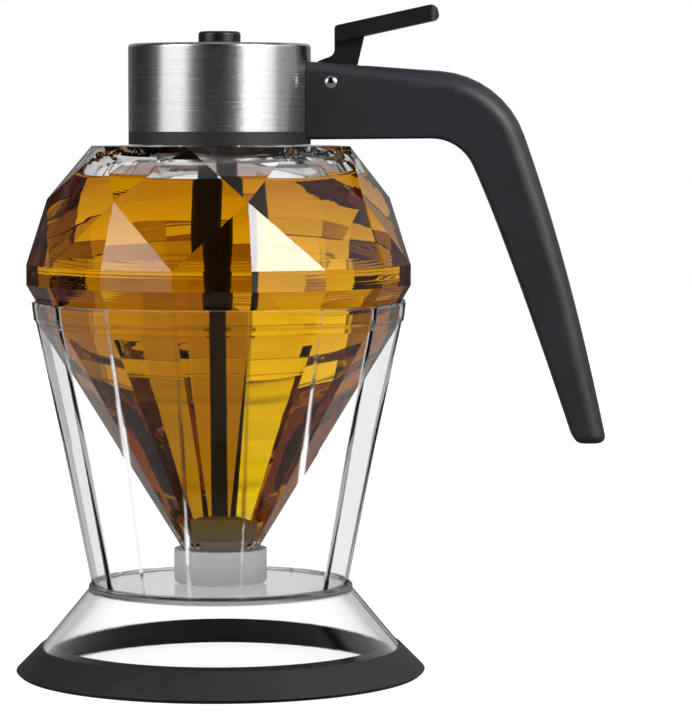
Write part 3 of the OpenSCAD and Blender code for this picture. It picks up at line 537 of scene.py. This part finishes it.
def neck_thread():
    """One raised thread round the neck. It fades in and out at its ends."""
    neck_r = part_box("lid_gasket")[1].x
    low_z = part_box("glass_jar")[1].z - THREAD_UNDER_TOP
    mesh = bmesh.new()
    rings = []
    for i in range(THREAD_STEPS + 1):
        share = i / THREAD_STEPS
        turn = 2 * math.pi * THREAD_TURNS * share
        grow = min(1.0, share / THREAD_FADE, (1 - share) / THREAD_FADE)
        height = low_z + THREAD_PITCH * THREAD_TURNS * share
        ring = []
        for out, up in THREAD_PROFILE:
            radius = neck_r + THREAD_HEIGHT * max(out * grow, -0.2)
            place = (radius * math.cos(turn), radius * math.sin(turn), height + THREAD_HALF_W * up)
            ring.append(mesh.verts.new(place))
        rings.append(ring)
    for first, second in zip(rings, rings[1:]):
        for here in range(len(THREAD_PROFILE)):
            beside = (here + 1) % len(THREAD_PROFILE)
            corners = (first[here], second[here], second[beside], first[beside])
            mesh.faces.new(corners).smooth = True
    mesh.faces.new(rings[0])
    mesh.faces.new(rings[-1][::-1])
    bmesh.ops.recalc_face_normals(mesh, faces=mesh.faces)
    obj = placed("neck_thread", mesh)
    obj.data.materials.append(dry_glass)
    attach(obj, "jar")


neck_thread()


# ---- Floor, backdrop and light ----

# The level of the world on dull surfaces, and of the backdrop off metal and inside glass
AMBIENT = 0.42
MIRRORED = 0.12
MIRRORED_INSIDE = 0.38
FLOOR_SIZE = 12
FLOOR_GLOW = 0.93
FLOOR_MATTE = 0.2
UNSEEN_MATTE = 0.03
# Degrees round from a tall light box, and the level there. The honey shows four such boxes, a
# quarter turn apart.
TALL_BOX = (
    (-45, 0.5), (-37, 0.64), (-30, 0.5), (-22, 0.38), (-15, 0.46), (-9, 0.85),
    (-5, 1.0), (6, 1.0), (10, 0.85), (14, 0.44), (24, 0.35), (45, 0.5),
)
FIRST_BOX = -160
DARK_IS_WARM = 1.5
# More walls crossed than this, and a ray has been through the honey
THROUGH_HONEY = 5.5
DOWN_THROUGH_HONEY = 7.5


def round_turn(tree, x, y):
    """The share of a turn round Z that a direction has, 0.5 towards the camera."""
    turn = math_node(tree, "ARCTAN2", x, math_node(tree, "MULTIPLY", y, -1.0))
    return math_node(tree, "MULTIPLY_ADD", turn, 0.5 / math.pi, 0.5)


def shown_backdrop(tree, direction, through_honey):
    """How much of the backdrop a ray sees, and the backdrop's colour. Rays from the camera and
    through glass see it whole. It shows dimmer where it is mirrored, off metal or inside glass, as
    a backdrop that ends beside the set does. A ray that crosses more walls than the stand has comes
    through the honey, and sees the tall light boxes and the warm dark between them."""
    path = tree.nodes.new("ShaderNodeLightPath")
    mirrored = math_node(tree, "GREATER_THAN", path.outputs["Glossy Depth"], 0.5)
    inside = math_node(tree, "MULTIPLY_ADD", mirrored, MIRRORED_INSIDE - 1.0, 1.0)
    through = math_node(tree, "MULTIPLY", path.outputs["Is Transmission Ray"], inside)
    off_metal = math_node(tree, "MULTIPLY", path.outputs["Is Glossy Ray"], MIRRORED)
    indirect = math_node(tree, "MAXIMUM", through, off_metal)
    total = math_node(tree, "MAXIMUM", path.outputs["Is Camera Ray"], indirect)

    x, y, _ = split_axes(tree, direction)
    # The fraction of quarter is 0.5 in the middle of each box
    to_first = 2.5 - (FIRST_BOX + 180) / 90
    quarter = math_node(tree, "MULTIPLY_ADD", round_turn(tree, x, y), 4.0, to_first)
    stops = [(turn / 90 + 0.5, level) for turn, level in TALL_BOX]
    boxes = level_ramp(tree, math_node(tree, "FRACT", quarter), stops, warmth=DARK_IS_WARM)
    deep = math_node(tree, "GREATER_THAN", path.outputs["Transmission Depth"], through_honey)
    shade = tree.nodes.new("ShaderNodeMix")
    shade.data_type = "RGBA"
    tree.links.new(deep, shade.inputs["Factor"])
    plain, honeyed = (socket for socket in shade.inputs if socket.type == "RGBA")
    plain.default_value = (1, 1, 1, 1)
    tree.links.new(boxes, honeyed)
    return total, next(socket for socket in shade.outputs if socket.type == "RGBA")


def blended(tree, factor, low, high):
    mix = tree.nodes.new("ShaderNodeMapRange")
    mix.inputs["To Min"].default_value = low
    mix.inputs["To Max"].default_value = high
    tree.links.new(factor, mix.inputs["Value"])
    return mix.outputs["Result"]


world = bpy.data.worlds.new("studio")
scene.world = world
world.use_nodes = True
background = world.node_tree.nodes["Background"]
tree = world.node_tree
direction = tree.nodes.new("ShaderNodeTexCoord").outputs["Generated"]
seen, color = shown_backdrop(tree, direction, THROUGH_HONEY)
tree.links.new(color, background.inputs["Color"])
tree.links.new(blended(tree, seen, AMBIENT, 1.0), background.inputs["Strength"])

bpy.ops.mesh.primitive_plane_add(size=FLOOR_SIZE, location=(0, 0, 0))
floor = bpy.context.object
floor.name = "studio_floor"
floor_look = bpy.data.materials.new("studio_floor")
floor_look.use_nodes = True
tree = floor_look.node_tree
tree.nodes.clear()
matte = tree.nodes.new("ShaderNodeBsdfDiffuse")
glow = tree.nodes.new("ShaderNodeEmission")
direction = tree.nodes.new("ShaderNodeTexCoord").outputs["Object"]
seen, color = shown_backdrop(tree, direction, DOWN_THROUGH_HONEY)
tree.links.new(color, glow.inputs["Color"])
tree.links.new(blended(tree, seen, 0.0, FLOOR_GLOW), glow.inputs["Strength"])
tree.links.new(blended(tree, seen, UNSEEN_MATTE, FLOOR_MATTE), matte.inputs["Color"])
both = tree.nodes.new("ShaderNodeAddShader")
tree.links.new(matte.outputs["BSDF"], both.inputs[0])
tree.links.new(glow.outputs["Emission"], both.inputs[1])
end = tree.nodes.new("ShaderNodeOutputMaterial")
tree.links.new(both.outputs["Shader"], end.inputs["Surface"])
floor.data.materials.append(floor_look)


DOME_RADIUS = 1.4
DOME_HEIGHT = 0.12
BOX_LEVEL = 14.0
BOX_LEFT = 0.08
# Degrees round from the camera's side, and the level there: the walls, and the two soft boxes
WALLS = (
    (-180, 0.5), (-152, 0.34), (-136, 0.12), (-118, 0.04), (-100, 0.06), (-84, 0.3), (-70, 3.0),
    (-46, 3.0), (-30, 0.26), (-14, 0.0), (6, 0.0), (22, 0.24), (36, 3.2), (66, 3.2), (84, 0.9),
    (110, 0.75), (140, 0.4), (165, 0.5), (180, 0.5),
)
BOXES = (
    (-180, 0), (-66, 0), (-62, BOX_LEFT), (-43, BOX_LEFT), (-39, 0), (34, 0), (38, 1), (56, 1),
    (61, 0), (180, 0),
)
# Degrees up from the middle: the share of the walls and boxes there, and the level of the top light
WALL_HEIGHTS = (
    (-90, 0.25), (-8, 0.25), (6, 0.5), (14, 1.0), (38, 1.0), (46, 0.1), (60, 0.06), (90, 0.06),
)
BOX_HEIGHTS = ((-90, 0), (21, 0), (25, 1), (36, 1), (40, 0), (90, 0))
TOPS = ((-90, 0), (52, 0), (70, 0.18), (82, 0.25), (86, 1.0), (90, 1.0))


def reflected_studio():
    """A dome of soft boxes and dark flags round the set. Only mirror reflections show it."""
    bpy.ops.mesh.primitive_uv_sphere_add(
        segments=96, ring_count=48, radius=DOME_RADIUS, location=(0, 0, DOME_HEIGHT)
    )
    dome = bpy.context.object
    dome.name = "reflected_studio"
    look = bpy.data.materials.new("reflected_studio")
    look.use_nodes = True
    look.cycles.emission_sampling = "NONE"
    tree = look.node_tree
    tree.nodes.clear()
    x, y, z = split_axes(tree, tree.nodes.new("ShaderNodeTexCoord").outputs["Object"])
    round_share = round_turn(tree, x, y)
    up = math_node(tree, "ARCSINE", math_node(tree, "DIVIDE", z, DOME_RADIUS))
    up_share = math_node(tree, "MULTIPLY_ADD", up, 1 / math.pi, 0.5)

    def round_level(stops):
        shares = [((degrees + 180) / 360, level) for degrees, level in stops]
        return level_ramp(tree, round_share, shares, ease=True)

    def up_level(stops):
        shares = [((degrees + 90) / 180, level) for degrees, level in stops]
        return level_ramp(tree, up_share, shares)

    soft = math_node(tree, "MULTIPLY", round_level(WALLS), up_level(WALL_HEIGHTS))
    strong = math_node(tree, "MULTIPLY", round_level(BOXES), up_level(BOX_HEIGHTS))
    total = math_node(tree, "MULTIPLY_ADD", strong, BOX_LEVEL, soft)
    total = math_node(tree, "ADD", total, up_level(TOPS))
    light = tree.nodes.new("ShaderNodeEmission")
    tree.links.new(total, light.inputs["Strength"])
    end = tree.nodes.new("ShaderNodeOutputMaterial")
    tree.links.new(light.outputs["Emission"], end.inputs["Surface"])
    dome.data.materials.append(look)
    dome.visible_camera = False
    dome.visible_diffuse = False
    dome.visible_transmission = False
    dome.visible_volume_scatter = False
    dome.visible_shadow = False


reflected_studio()


def soft_box(name, place, aim, width, height, power):
    data = bpy.data.lights.new(name, "AREA")
    data.shape = "RECTANGLE"
    data.size, data.size_y = width, height
    data.energy = power
    lamp = bpy.data.objects.new(name, data)
    lamp.location = place
    lamp.rotation_euler = (Vector(aim) - Vector(place)).to_track_quat("-Z", "Y").to_euler()
    lamp.visible_glossy = False
    lamp.visible_transmission = False
    lamp.visible_camera = False
    scene.collection.objects.link(lamp)


AIM = (0.01, 0, 0.09)
# Place, width, height and watts
LAMPS = {
    "left_box": ((-0.95, -0.62, 0.5), 0.6, 1.0, 6.5),
    "right_box": ((0.98, -0.6, 0.55), 0.6, 1.0, 7.5),
    "top_box": ((0.1, 0.05, 1.15), 1.0, 1.0, 9.0),
    "back_box": ((0.1, 1.1, 0.5), 1.2, 0.8, 5.0),
}
for name, (place, width, height, power) in LAMPS.items():
    soft_box(name, place, AIM, width, height, power)

# Fitted to the photograph's frame, 692 x 720
LENS = 177.71
CAMERA_PLACE = (0.03427, -0.83621, 0.13132)
CAMERA_TILT = 86.082
CAMERA_TURN = 0.316

camera_data = bpy.data.cameras.new("camera")
camera_data.lens = LENS
camera_data.sensor_width = 36
camera = bpy.data.objects.new("camera", camera_data)
camera.location = CAMERA_PLACE
camera.rotation_euler = (math.radians(CAMERA_TILT), 0, math.radians(CAMERA_TURN))
scene.collection.objects.link(camera)
scene.camera = camera

scene.cycles.max_bounces = 32
scene.cycles.transmission_bounces = 28
scene.cycles.glossy_bounces = 8
scene.cycles.transparent_max_bounces = 16
scene.view_settings.view_transform = "Standard"
